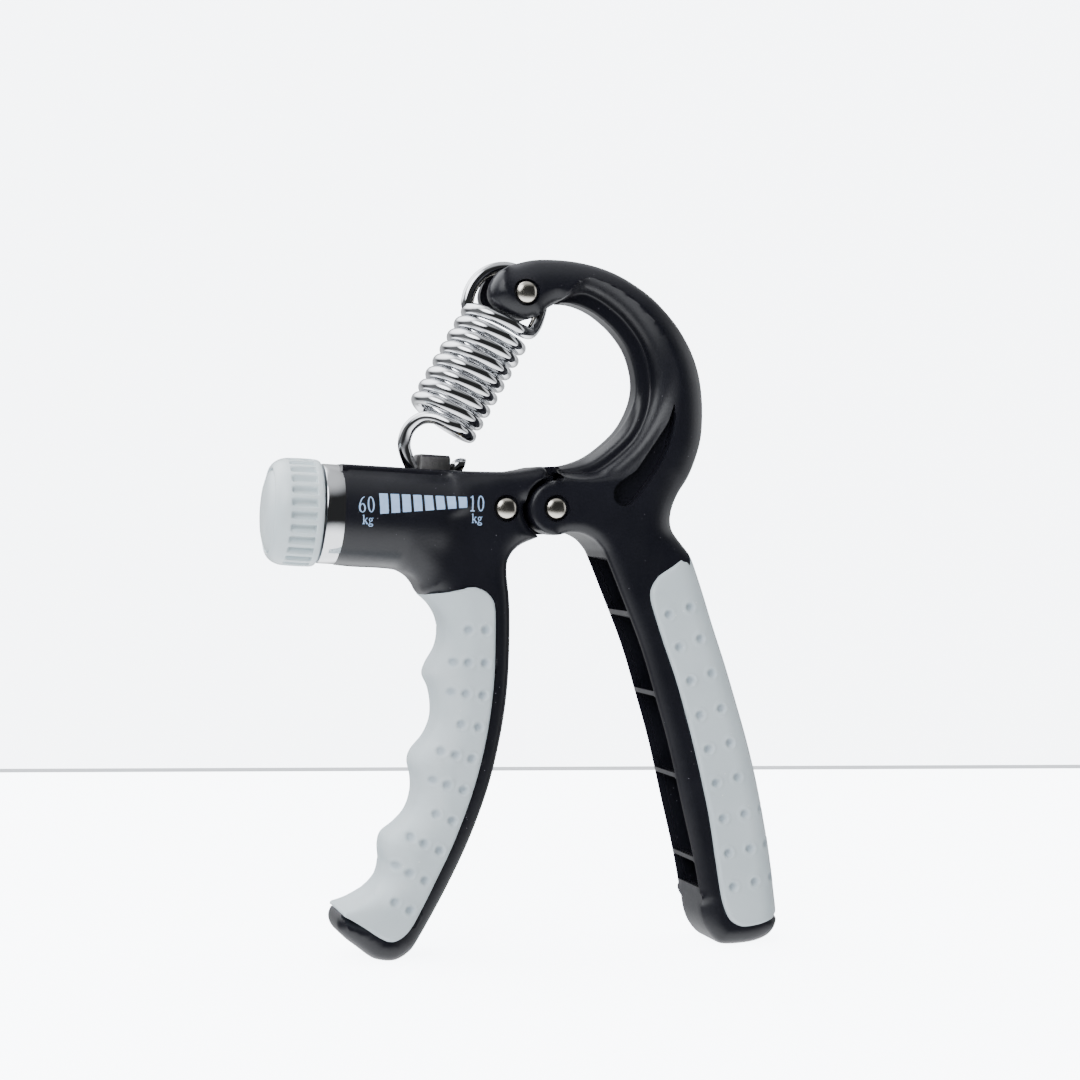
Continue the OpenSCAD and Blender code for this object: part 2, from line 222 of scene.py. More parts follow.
ARM_ROOT = curve([(-0.4, 101.5), (-0.3, 102.6), (-1.5, 104.3), (-0.6, 104.6), (2.3, 104.7), (5.3, 105.3),
                  (8.9, 106.7), (12.5, 109.2), (16.1, 112.6), (18.6, 116.8), (19.8, 121), (19.6, 125.2),
                  (18, 130), (15, 134.1), (11.5, 137.1), (8.5, 138.8), (5.3, 139.8), (2.1, 139.9),
                  (-0.2, 139.1), (-1.9, 137.9)])
ARM_TIP = curve([(-4.3, 136.4), (-6.3, 136), (-8.5, 136.4), (-10.7, 137.2), (-12.5, 138.6), (-13.7, 140.4),
                 (-13.8, 142.3), (-13, 144.4), (-11.5, 146.3)])
REAR_OUTLINE = np.vstack([ARM_OUTER, REAR_CORE, REAR_FOOT, REAR_INNER, KNUCKLE[1:], ARM_ROOT, ARM_TIP])

REAR_GRIP_OUTER = curve([(29.6, 86.2), (31.2, 85.4), (33.6, 79), (36.4, 70.3), (39.3, 61.7), (42, 53),
                         (44.4, 44.9), (46.6, 36.2), (48.5, 26.8), (49.9, 18.7), (50.9, 10.6), (51.3, 6.9),
                         (51, 5.9)])
REAR_GRIP_INNER = curve([(49.8, 5.7), (47.5, 4.9), (45.3, 4.3), (42, 4.1), (39.4, 5.5), (38, 8), (37, 11.7),
                         (35.8, 19.1), (34.4, 28), (32.9, 35.1), (31, 43.1), (28.9, 51), (26.5, 59.1),
                         (23.9, 66.4), (21.7, 73.1), (20.9, 76.3), (21.2, 78.6), (22.9, 81), (25.8, 82.9),
                         (28.6, 84.9)])
POCKET = curve([(26.6, 118.4), (25.2, 114.4), (23.2, 111.2), (20.8, 107.8), (18, 104), (15.8, 102.4),
                (14, 101.2), (12.8, 99.6), (12.8, 97.6), (14, 96.3), (15.8, 96.2), (17.2, 97), (18.7, 98.7),
                (21.2, 101.8), (23.4, 105.2), (25, 108.4), (26.1, 111.9), (26.8, 115.4)])


# ---------------------------------------------------------------- meshes

def make_object(name, verts, faces, material, smooth_angle=40):
    """A mesh object in metres with one material and edges sharper than the angle kept crisp."""
    mesh = bpy.data.meshes.new(name)
    mesh.from_pydata([tuple(v) for v in verts], [], [tuple(f) for f in faces])
    mesh.validate()
    bm = bmesh.new()
    bm.from_mesh(mesh)
    bmesh.ops.recalc_face_normals(bm, faces=bm.faces)
    bm.to_mesh(mesh)
    bm.free()
    mesh.shade_smooth()
    mesh.set_sharp_from_angle(angle=math.radians(smooth_angle))
    obj = bpy.data.objects.new(name, mesh)
    bpy.context.scene.collection.objects.link(obj)
    if material:
        mesh.materials.append(material)
    return obj


EDGE_RINGS = (0.12, 0.35, 0.7, 1.15, 1.7, 2.4, 3.2)
DENT_RINGS = (0.22, 0.42, 0.6, 0.78, 0.95, 1.15, 1.4, 1.62)
ARM_RINGS = (0.12, 0.35, 0.65, 1.0, 1.4, 1.9, 2.4, 2.8, 3.08, 3.22, 3.36, 3.5, 3.75, 4.1, 4.6)


def plate(name, outline, height, material, step=0.7, grid=0.9, rings=EDGE_RINGS, extra=(), walls=6, dents=()):
    """A solid with two faces at height(points) from the mid-plane, inside a closed [x, z] outline."""
    edge = resample(outline, step)
    count = len(edge)
    area = 0.5 * np.sum(edge[:, 0] * np.roll(edge[:, 1], -1) - np.roll(edge[:, 0], -1) * edge[:, 1])
    tangent = np.roll(edge, -1, 0) - np.roll(edge, 1, 0)
    tangent /= np.linalg.norm(tangent, axis=1)[:, None]
    inward = np.stack([-tangent[:, 1], tangent[:, 0]], 1) * (1 if area > 0 else -1)
    candidates = []
    for d in rings:
        p = edge + inward * d
        ok = inside(p, edge)
        p = p[ok]
        candidates.append(p[distance(p, edge, True) > 0.93 * d])
    lo, hi = edge.min(0), edge.max(0)
    gx, gz = np.meshgrid(np.arange(lo[0], hi[0], grid), np.arange(lo[1], hi[1], grid * 0.866), indexing="ij")
    gx = gx + (np.arange(gx.shape[1]) % 2) * grid / 2
    g = np.stack([gx.ravel(), gz.ravel()], 1)
    g = g[inside(g, edge)]
    g = g[distance(g, edge, True) > rings[-1] + 0.45 * grid]
    for ring in extra:
        far = distance(g, ring, True) > 0.45 * grid
        g = g[far]
    inner = [c for c in candidates]
    for ring in extra:
        inner = [c[distance(c, ring, True) > 0.3] for c in inner]
    inner += [g] + [np.asarray(r) for r in extra]
    for centre in dents:
        inner = [p[np.linalg.norm(p - centre, axis=1) > 1.72] for p in inner]
    for centre in dents:
        p = np.vstack([[centre]] + [arc(centre, r, 0, 360, 14)[:-1] for r in DENT_RINGS])
        p = p[inside(p, edge)]
        inner.append(p[distance(p, edge, True) > 0.15])
    points = np.vstack([edge] + inner)
    loops = [(i, (i + 1) % count) for i in range(count)]
    result = delaunay_2d_cdt([Vector(p) for p in points], loops, [], 1, 1e-5)
    flat = np.array([(v.x, v.y) for v in result[0]])
    tris = [tuple(f) for f in result[2]]
    h = height(flat)
    n = len(flat)
    origin = result[3]
    place = {}
    for new, olds in enumerate(origin):
        for old in olds:
            if old < count:
                place[old] = new
    border = [place[i] for i in range(count)]
    front = np.stack([flat[:, 0], -h, flat[:, 1]], 1)
    back = np.stack([flat[:, 0], h, flat[:, 1]], 1)
    verts = [front, back]
    faces = tris + [tuple(n + i for i in reversed(f)) for f in tris]
    previous = border
    total = 2 * n
    for k in range(1, walls):
        t = k / walls
        hb = h[border]
        row = np.stack([flat[border, 0], -hb + 2 * hb * t, flat[border, 1]], 1)
        verts.append(row)
        current = list(range(total, total + count))
        total += count
        faces += [(previous[i], previous[(i + 1) % count], current[(i + 1) % count], current[i])
                  for i in range(count)]
        previous = current
    last = [n + i for i in border]
    faces += [(previous[i], previous[(i + 1) % count], last[(i + 1) % count], last[i]) for i in range(count)]
    verts = np.vstack(verts)
    return make_object(name, to_world(verts), faces, material)


def carve(obj, *cutters):
    """Subtract cutter objects from obj, then delete them."""
    for cutter in cutters:
        modifier = obj.modifiers.new("cut", "BOOLEAN")
        modifier.operation = "DIFFERENCE"
        modifier.solver = "EXACT"
        modifier.object = cutter
        bpy.context.view_layer.objects.active = obj
        bpy.ops.object.modifier_apply(modifier=modifier.name)
        bpy.data.objects.remove(cutter, do_unlink=True)
    obj.data.set_sharp_from_angle(angle=math.radians(40))
    return obj


def prism(points, y0, y1):
    """A cutter: an [x, z] outline between two y values."""
    n = len(points)
    verts = [(p[0], y0, p[1]) for p in points] + [(p[0], y1, p[1]) for p in points]
    faces = [tuple(range(n)), tuple(range(2 * n - 1, n - 1, -1))]
    faces += [(i, (i + 1) % n, n + (i + 1) % n, n + i) for i in range(n)]
    return make_object("cutter", to_world(verts), faces, None)


def lathe(name, profile, start, direction, material, segments=96, shape=None, smooth_angle=40):
    """A solid turned from [distance along, radius] pairs; shape(angle, along, radius) may vary the radius."""
    d = Vector(direction).normalized()
    side = d.orthogonal().normalized()
    other = d.cross(side)
    verts, faces = [], []
    for along, r in profile:
        for k in range(segments):
            a = 2 * math.pi * k / segments
            radius = shape(a, along, r) if shape else r
            verts.append(Vector(start) + d * along + (side * math.cos(a) + other * math.sin(a)) * radius)
    rows = len(profile)
    for i in range(rows - 1):
        for k in range(segments):
            j = (k + 1) % segments
            faces.append((i * segments + k, i * segments + j, (i + 1) * segments + j, (i + 1) * segments + k))
    faces.append(tuple(range(segments)))
    faces.append(tuple((rows - 1) * segments + k for k in range(segments)))
    return make_object(name, to_world([tuple(v) for v in verts]), faces, material, smooth_angle)


def tube(name, path, radius, material, sides=20):
    """A round wire along a path of 3-D points, with closed ends."""
    p = np.asarray(path, float)
    tangent = np.gradient(p, axis=0)
    tangent /= np.linalg.norm(tangent, axis=1)[:, None]
    normal = np.cross(tangent[0], (0.3, 0.2, 0.9))
    normal /= np.linalg.norm(normal)
    angles = np.linspace(0, 2 * math.pi, sides, endpoint=False)
    verts = []
    for i, t in enumerate(tangent):
        normal = normal - t * np.dot(normal, t)
        normal /= np.linalg.norm(normal)
        other = np.cross(t, normal)
        verts.append(p[i] + radius * (np.cos(angles)[:, None] * normal + np.sin(angles)[:, None] * other))
    n = len(p)
    faces = [(i * sides + k, i * sides + (k + 1) % sides, (i + 1) * sides + (k + 1) % sides,
              (i + 1) * sides + k)
             for i in range(n - 1) for k in range(sides)]
    faces += [tuple(range(sides)), tuple((n - 1) * sides + k for k in range(sides))]
    return make_object(name, to_world(np.vstack(verts)), faces, material, 60)


# ---------------------------------------------------------------- materials

class Nodes:
    """A small helper to build one procedural material."""

    def __init__(self, name):
        self.material = bpy.data.materials.new(name)
        self.material.use_nodes = True
        self.tree = self.material.node_tree
        self.shader = self.tree.nodes["Principled BSDF"]
        self.coords = self.tree.nodes.new("ShaderNodeTexCoord").outputs["Object"]

    def set(self, **values):
        for key, value in values.items():
            self.shader.inputs[key.replace("_", " ")].default_value = value

    def noise(self, scale, detail=3.0, roughness=0.55):
        node = self.tree.nodes.new("ShaderNodeTexNoise")
        node.inputs["Scale"].default_value = scale
        node.inputs["Detail"].default_value = detail
        node.inputs["Roughness"].default_value = roughness
        self.tree.links.new(self.coords, node.inputs["Vector"])
        return node.outputs["Fac"]

    def attribute(self, name):
        """A number stored on the mesh's points."""
        node = self.tree.nodes.new("ShaderNodeAttribute")
        node.attribute_name = name
        return node.outputs["Fac"]

    def specks(self, scale, size):
        """Sparse small dots: 1 inside a dot, 0 outside."""
        node = self.tree.nodes.new("ShaderNodeTexVoronoi")
        node.inputs["Scale"].default_value = scale
        node.inputs["Randomness"].default_value = 1.0
        self.tree.links.new(self.coords, node.inputs["Vector"])
        return self.ramp(node.outputs["Distance"], [(size, (1, 1, 1, 1)), (size * 1.6, (0, 0, 0, 1))])

    def ramp(self, value, stops):
        node = self.tree.nodes.new("ShaderNodeValToRGB")
        elements = node.color_ramp.elements
        elements[0].position, elements[0].color = stops[0]
        elements[1].position, elements[1].color = stops[1]
        for position, color in stops[2:]:
            elements.new(position).color = color
        self.tree.links.new(value, node.inputs["Fac"])
        return node.outputs["Color"]

    def multiply(self, a, b):
        node = self.tree.nodes.new("ShaderNodeMath")
        node.operation = "MULTIPLY"
        self.tree.links.new(a, node.inputs[0])
        self.tree.links.new(b, node.inputs[1])
        return node.outputs["Value"]

    def mix(self, factor, a, b):
        node = self.tree.nodes.new("ShaderNodeMix")
        node.data_type = "RGBA"
        self.tree.links.new(factor, node.inputs["Factor"])
        for value, socket in ((a, node.inputs["A"]), (b, node.inputs["B"])):
            if isinstance(value, tuple):
                socket.default_value = value
            else:
                self.tree.links.new(value, socket)
        return node.outputs["Result"]

    def link(self, value, socket):
        self.tree.links.new(value, self.shader.inputs[socket])

    def bump(self, value, strength, distance):
        node = self.tree.nodes.new("ShaderNodeBump")
        node.inputs["Strength"].default_value = strength
        node.inputs["Distance"].default_value = distance
        self.tree.links.new(value, node.inputs["Height"])
        self.tree.links.new(node.outputs["Normal"], self.shader.inputs["Normal"])


def black_plastic():
    m = Nodes("black_plastic")
    mottle = m.noise(55.0, 4.0)
    base = m.ramp(mottle, [(0.3, (0.0048, 0.0050, 0.0078, 1)), (0.75, (0.0080, 0.0083, 0.0122, 1))])
    sparse = m.multiply(m.specks(700.0, 0.05),
                        m.ramp(m.noise(90.0, 2.0), [(0.48, (0, 0, 0, 1)), (0.60, (1, 1, 1, 1))]))
    m.link(m.mix(sparse, base, (0.2, 0.2, 0.23, 1)), "Base Color")
    m.link(m.ramp(m.noise(240.0, 5.0), [(0.25, (0.28, 0.28, 0.28, 1)), (0.8, (0.37, 0.37, 0.37, 1))]),
           "Roughness")
    m.set(Specular_IOR_Level=0.4)
    m.bump(m.noise(1500.0, 3.0), 0.12, 0.0002)
    return m.material


def grip_rubber():
    m = Nodes("grip_rubber")
    base = m.ramp(m.noise(70.0, 4.0), [(0.3, (0.485, 0.555, 0.585, 1)), (0.7, (0.54, 0.605, 0.635, 1))])
    dust = m.specks(350.0, 0.04)
    dusty = m.mix(dust, base, (0.68, 0.72, 0.73, 1))
    # Painted shade: inside the dimples the rubber's colour is mixed towards a darker blue.
    m.link(m.mix(m.attribute("dent_shade"), dusty, (0.24, 0.31, 0.38, 1)), "Base Color")
    m.link(m.ramp(m.noise(300.0, 4.0), [(0.3, (0.5, 0.5, 0.5, 1)), (0.75, (0.62, 0.62, 0.62, 1))]),
           "Roughness")
    m.set(Subsurface_Weight=0.15, Subsurface_Radius=(0.9, 1.0, 1.0), Subsurface_Scale=0.001,
          Specular_IOR_Level=0.35)
    m.bump(m.noise(2200.0, 3.0), 0.10, 0.0002)
    return m.material


def knob_plastic():
    m = Nodes("knob_plastic")
    base = m.ramp(m.noise(60.0, 3.0), [(0.3, (0.58, 0.66, 0.69, 1)), (0.7, (0.66, 0.735, 0.76, 1))])
    m.link(base, "Base Color")
    m.link(m.ramp(m.noise(400.0, 4.0), [(0.3, (0.2, 0.2, 0.2, 1)), (0.75, (0.28, 0.28, 0.28, 1))]),
           "Roughness")
    m.set(Subsurface_Weight=0.35, Subsurface_Radius=(1.0, 1.05, 1.1), Subsurface_Scale=0.0015)
    m.bump(m.noise(900.0, 3.0), 0.05, 0.0002)
    return m.material


def metal(name, low, high, rough, bump=0.03, scale=300.0):
    """A metal with slight colour and gloss variation between two tones."""
    m = Nodes(name)
    m.link(m.ramp(m.noise(scale * 0.3, 4.0), [(0.3, (*low, 1)), (0.7, (*high, 1))]), "Base Color")
    m.link(m.ramp(m.noise(scale, 5.0), [(0.3, (rough,) * 3 + (1,)), (0.8, (rough * 1.6,) * 3 + (1,))]),
           "Roughness")
    m.set(Metallic=1.0)
    m.bump(m.noise(scale * 4, 3.0), bump, 0.0002)
    return m.material


def ink():
    m = Nodes("print")
    m.link(m.ramp(m.noise(900.0, 4.0), [(0.3, (0.30, 0.47, 0.75, 1)), (0.7, (0.37, 0.54, 0.82, 1))]),
           "Base Color")
    m.link(m.ramp(m.noise(600.0, 3.0), [(0.3, (0.45, 0.45, 0.45, 1)), (0.8, (0.6, 0.6, 0.6, 1))]),
           "Roughness")
    m.bump(m.noise(2500.0, 2.0), 0.1, 0.0001)
    return m.material


BLACK = black_plastic()
GRIP = grip_rubber()
FROSTED = knob_plastic()
CHROME = metal("chrome", (0.74, 0.75, 0.77), (0.82, 0.83, 0.85), 0.05)
NICKEL = metal("nickel", (0.62, 0.58, 0.51), (0.74, 0.70, 0.62), 0.18, 0.08)
SINTERED = metal("slider_metal", (0.085, 0.083, 0.083), (0.15, 0.147, 0.147), 0.42, 0.35)
BRASS = metal("brass", (0.60, 0.44, 0.18), (0.72, 0.56, 0.27), 0.22, 0.08)
INK = ink()


def place(obj, body, slot, *nodes):
    """Rides obj on a body and hides the CAD nodes that it stands for; slot is not used."""
    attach(obj, body)
    if nodes:
        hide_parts(*nodes)
    return obj


# ---------------------------------------------------------------- surface heights

def rivet_recess(points, centre, h, radius=2.68, depth=0.9):
    """Sinks a round seat with a crisp lip around a rivet head."""
    d = np.linalg.norm(points - np.asarray(centre), axis=1)
    return h - depth * (1 - smooth((d - radius) / 0.22))


def seat_rings(centre):
    """Extra mesh points around a rivet's seat."""
    return [arc(centre, r, 0, 360, 36)[:-1] for r in (2.3, 2.66, 2.72, 2.82, 2.9, 3.2)]


def joined(a, b, blend=1.6):
    """The larger of two heights, with the crease between them filled by a soft fillet."""
    return (a + b + np.sqrt((a - b) ** 2 + blend ** 2)) / 2 - blend * 0.12


def front_height(points):
    x, z = points[:, 0], points[:, 1]
    _, w = barrel_uw(x, z)
    upper = smooth(w / 5)
    # The barrel's top is flat where the slot's lips are
    lips = 5.3 - drop(BARREL_R + 0.05 - w, 0.7, 0.9)
    round_bar = np.sqrt(np.maximum(BARREL_R ** 2 - w ** 2, 0.04))
    round_bar = np.maximum(round_bar, np.where(w > 8, lips, 0)) - 7 * smooth((x + 26 - 6 * upper) / 12)
    inner = nearest(points, FRONT_ARC[12:], FRONT_INNER)
    top = distance(points, FRONT_TOP[16:])
    outer = nearest(points, FRONT_TOE, FRONT_LEFT)
    belly = distance(points, FRONT_BELLY)
    knuckle = distance(points, FRONT_ARC)
    shoulder = smooth((-11 - x) / 14)
    toe = smooth((-35 - x) / 7) * smooth((17 - z) / 5)
    slab = HANDLE_HALF - np.maximum.reduce([
        drop(inner, 4.0, 3.0), (1 - shoulder) * drop(top, 3.2, 3.0) + shoulder * drop(top, 9.0, 6.5),
        (1 - toe) * drop(outer, 3.5, 3.0) + toe * drop(outer, 5.0, 4.4),
        drop(belly, 6.6, 6.0), drop(knuckle, 1.1, 0.8)])
    # The slab of the leg ends where only the round barrel goes on towards the knob
    high = smooth((z - 78) / 3)
    slab = slab - 14 * smooth((-31 + 10 * upper - x) / 8) * high
    h = joined(round_bar, slab) * high + slab * (1 - high)
    h = np.where(z < 84, np.minimum(h, HANDLE_HALF), h)
    # The shell stays below the skin of the grip
    under = inside(points, np.vstack([FRONT_GRIP_LEFT, FRONT_GRIP_RIGHT]))
    h = np.where(under, np.maximum(np.minimum(h, front_grip_skin(points) - 0.7), 1.0), h)
    return rivet_recess(points, RIVET, h)


# Half thickness of the arm at a distance in from its inner edge. High up, a thin rim ends in a sharp fold,
# where the round bead starts; low down, two soft ridges take its place.
FOLD = curve([(0, 2.2), (0.35, 2.6), (1.6, 2.65), (3.1, 2.7), (3.5, 4.0), (4.1, 5.6), (5.0, 7.0), (6.2, 8.2),
              (7.6, 8.95), (9.0, 9.25), (10.5, 9.3)], 6)
RIDGES = curve([(0, 2.2), (0.5, 3.3), (1.2, 4.7), (2.0, 5.2), (2.9, 5.2), (3.5, 5.7), (4.3, 7.2), (5.1, 7.9),
                (6.2, 8.3), (7.6, 8.95), (9.0, 9.25), (10.5, 9.3)], 6)


def rear_height(points):
    x, z = points[:, 0], points[:, 1]
    outer = distance(points, ARM_OUTER)
    inner = distance(points, ARM_ROOT[32:])
    tip = nearest(points, ARM_TIP, ARM_OUTER[:10], ARM_ROOT[-12:])
    leg = nearest(points, REAR_INNER, REAR_CORE)
    foot = distance(points, REAR_FOOT)
    knuckle = distance(points, KNUCKLE)
    # The ridges draw together towards the knuckle, and the fold dies out under the tip
    squeezed = inner / (0.45 + 0.55 * smooth((x - 0.5) / 8))
    tucked = inner / np.where(z > 128, 0.06 + 0.94 * smooth((x - 0.8) / 8), 1.0)
    low = smooth((124 - z) / 14)
    high_up = np.interp(tucked, FOLD[:, 0], FOLD[:, 1])
    low_down = np.interp(squeezed, RIDGES[:, 0], RIDGES[:, 1])
    section = (1 - low) * high_up + low * low_down
    arm = smooth((z - 101) / 2.5) * np.where(z > 128, smooth((x + 0.2) / 1.2), 1.0)
    outer_edge = smooth((z - 84) / 8)
    edge = np.maximum.reduce([
        drop(outer, 8.5, 6.6) * outer_edge + drop(outer, 3.0, 2.6) * (1 - outer_edge),
        (HANDLE_HALF - section) * arm, drop(inner, 1.2, 1.0) * (1 - arm),
        drop(tip, 4.6, 4.0), drop(leg, 2.8, 2.1), drop(foot, 3.6, 3.2), drop(knuckle, 1.3, 1.0)])
    h = rivet_recess(points, HINGE, HANDLE_HALF - edge)
    return rivet_recess(points, SPRING_PIN, h)


def rows(line, start, count, pitch, offsets, inward):
    """Dimple centres: rows at equal steps along a lip line from height start, at set distances in from it."""
    line = resample(line, 0.2, closed=False)
    tangent = np.gradient(line, axis=0)
    tangent /= np.linalg.norm(tangent, axis=1)[:, None]
    normal = np.stack([-tangent[:, 1], tangent[:, 0]], 1) * inward
    first = int(np.argmin(np.abs(line[:, 1] - start)))
    direction = -1 if line[min(first + 5, len(line) - 1), 1] > line[first, 1] else 1
    out = []
    for k in range(count):
        i = first + direction * int(round(k * pitch / 0.2))
        if 0 <= i < len(line):
            out += [line[i] + normal[i] * offset for offset in offsets]
    return np.array(out)


def dimples(points, centres, h):
    """Small round dents, each with a faint raised ring."""
    for c in centres:
        d = np.linalg.norm(points - c, axis=1)
        h = h - 0.62 * smooth(1.35 - d / 0.85) + 0.16 * bump(d, 1.4, 0.5)
    return h


FRONT_DIMPLES = rows(FRONT_GRIP_RIGHT[32:-40], 69.7, 10, 7.0, (2.4, 6.0, 9.0, 11.2), 1)
FRONT_DIMPLES = FRONT_DIMPLES[distance(FRONT_DIMPLES, FRONT_GRIP_LEFT) > 1.2]
REAR_DIMPLES = rows(REAR_GRIP_INNER[32:-40], 71.7, 9, 7.65, (2.9, 8.0, 12.4), -1)
REAR_DIMPLES = REAR_DIMPLES[distance(REAR_DIMPLES, REAR_GRIP_OUTER) > 1.2]


def front_grip_skin(points):
    """Half thickness of the front grip without its dimples."""
    lip = distance(points, FRONT_GRIP_RIGHT)
    finger = distance(points, FRONT_GRIP_LEFT)
    # The finger side is less rounded over the toe
    rounding = 0.3 + 0.7 * smooth((points[:, 1] - 10.5) / 7)
    return GRIP_HALF - np.maximum(drop(lip, 0.8, 1.3), drop(finger, 6.5, 6.6) * rounding)


def front_grip_height(points):
    return dimples(points, FRONT_DIMPLES, front_grip_skin(points))


def rear_grip_height(points):
    lip = distance(points, REAR_GRIP_INNER)
    palm = distance(points, REAR_GRIP_OUTER)
    h = GRIP_HALF - np.maximum(drop(lip, 0.8, 1.3), drop(palm, 5.5, 6.0))
    return dimples(points, REAR_DIMPLES, h)


# ---------------------------------------------------------------- handles

def front_handle():
    obj = plate("front_handle_shell", FRONT_OUTLINE, front_height, BLACK, extra=seat_rings(RIVET))
    wide = [barrel_point(*p) for p in ((3, -4.6), (28.8, -4.6), (28.8, 7.6), (30.8, 7.6), (30.8, 20),
                                       (3, 20))]
    narrow = [barrel_point(*p) for p in ((28, 5.4), (36.2, 5.4), (36.2, 20), (28, 20))]
    link = [(-15.6, 90), (6, 90), (6, 102.8), (-15.6, 102.8)]
    carve(obj, prism(wide, -SLOT_HALF, SLOT_HALF), prism(narrow, -HOOK_SLOT_HALF, HOOK_SLOT_HALF),
          prism(link, -LINK_SLOT_HALF, LINK_SLOT_HALF))
    place(obj, "front", "black_plastic", "front_handle")


# The mouth and the floor of the rear handle's hollow channel
MOUTH = curve([(33.4, 11), (31.2, 19.5), (28.8, 31), (25.9, 43.6), (22.8, 54.5), (19.4, 65.6), (14.6, 77.7),
               (11.0, 86)])
FLOOR = curve([(45, 11), (43.5, 19), (41.5, 29), (38.4, 41), (34.6, 53), (30, 66), (25, 77), (20.5, 86)])


def channel(low, high, half, lift, depth=None):
    """A cutter for the channel between two heights, to its floor or to a depth from its mouth."""
    t = np.linspace(low, high, 14)
    outside = np.stack([np.interp(t, MOUTH[:, 1], MOUTH[:, 0]) - 3, t + 0.9], 1)
    if depth:
        inside = np.stack([np.interp(t, MOUTH[:, 1], MOUTH[:, 0]) + depth, t - 0.5], 1)
    else:
        inside = np.stack([np.interp(t, FLOOR[:, 1], FLOOR[:, 0]) + lift, t - 2.6], 1)
    return prism(np.vstack([outside, inside[::-1]]), -half, half)


def rear_handle():
    obj = plate("rear_handle_shell", REAR_OUTLINE, rear_height, BLACK, grid=0.6, rings=ARM_RINGS,
                extra=seat_rings(HINGE) + seat_rings(SPRING_PIN))
    fork = [(-16, 130), (2.6, 130), (2.6, 152), (-16, 152)]
    link_room = arc(HINGE, 7.2, 0, 360, 64)[:-1]
    carve(obj, prism(fork, -FORK_HALF, FORK_HALF), prism(link_room, -FORK_HALF, FORK_HALF))
    # Beside the front handle's lip, the arm is only a thin flap
    flap = [(-4, 106), (0.5, 106), (0.6, 103.2), (1.5, 102.8), (1.9, 102.2), (1.5, 101.6), (0.4, 101.5),
            (-4, 101.5)]
    carve(obj, prism(flap, -BEYOND, -FLAP_HALF), prism(flap, FLAP_HALF, BEYOND))
    pocket = resample(POCKET, 0.35)
    carve(obj, prism(pocket, -BEYOND, -POCKET_FLOOR), prism(pocket, POCKET_FLOOR, BEYOND))
    # The hollow channel: a shallow step along both walls, and the ribs between cells
    cells = [(12.6, 18.3), (19.5, 36.7), (37.9, 54.6), (55.8, 72.1), (73.3, 85.0)]
    cutters = [channel(a, b, 7.2, 0, 1.7) for a, b in cells] + [channel(a, b, 6.6, 0) for a, b in cells]
    carve(obj, *cutters)
    place(obj, "rear", "black_plastic", "rear_handle")


front_handle()
rear_handle()


def paint_dent_shade(obj, centres):
    """Stores how deep in a dimple each point lies; there the rubber is painted a little bluer and darker, as
    painted shade in the hollows.
    """
    mesh = obj.data
    co = np.empty(len(mesh.vertices) * 3)
    mesh.vertices.foreach_get("co", co)
    flat = co.reshape(-1, 3)[:, [0, 2]] / MM - (HINGE_X / MM, 0)
    gap = np.min(np.linalg.norm(flat[:, None] - centres[None], axis=2), axis=1)
    depth = mesh.attributes.new("dent_shade", "FLOAT", "POINT")
    depth.data.foreach_set("value", 0.5 * smooth(1.35 - gap / 0.95))
    return obj


def grips():
    front = plate("front_grip_skin", np.vstack([FRONT_GRIP_LEFT, FRONT_GRIP_RIGHT]), front_grip_height, GRIP,
                  step=0.45, grid=0.42, walls=14, dents=FRONT_DIMPLES)
    place(paint_dent_shade(front, FRONT_DIMPLES), "front", "grip_rubber", "front_grip")
    rear = plate("rear_grip_skin", np.vstack([REAR_GRIP_OUTER, REAR_GRIP_INNER]), rear_grip_height, GRIP,
                 step=0.45, grid=0.42, walls=14, dents=REAR_DIMPLES)
    carve(rear, channel(11, 85.5, 7.6, 0.7))
    place(paint_dent_shade(rear, REAR_DIMPLES), "rear", "grip_rubber", "rear_grip")


grips()


# ---------------------------------------------------------------- spring

LEAN = math.radians(30)
AXIS = np.array([math.sin(LEAN), 0, math.cos(LEAN)])
SIDE = np.array([math.cos(LEAN), 0, -math.sin(LEAN)])
BACK = np.array([0, 1.0, 0])
COIL_START = np.array([-23.0, 0, 114.45])
COIL_R, PITCH, WIRE = 6.9, 3.14, 1.4
TURNS = 8
LOOP = np.array([-9.2, 0, 139.3])
LOOP_R = 8.2


def coil_point(turn):
    a = 2 * math.pi * turn
    return COIL_START + AXIS * PITCH * turn + COIL_R * (math.cos(a) * SIDE + math.sin(a) * BACK)


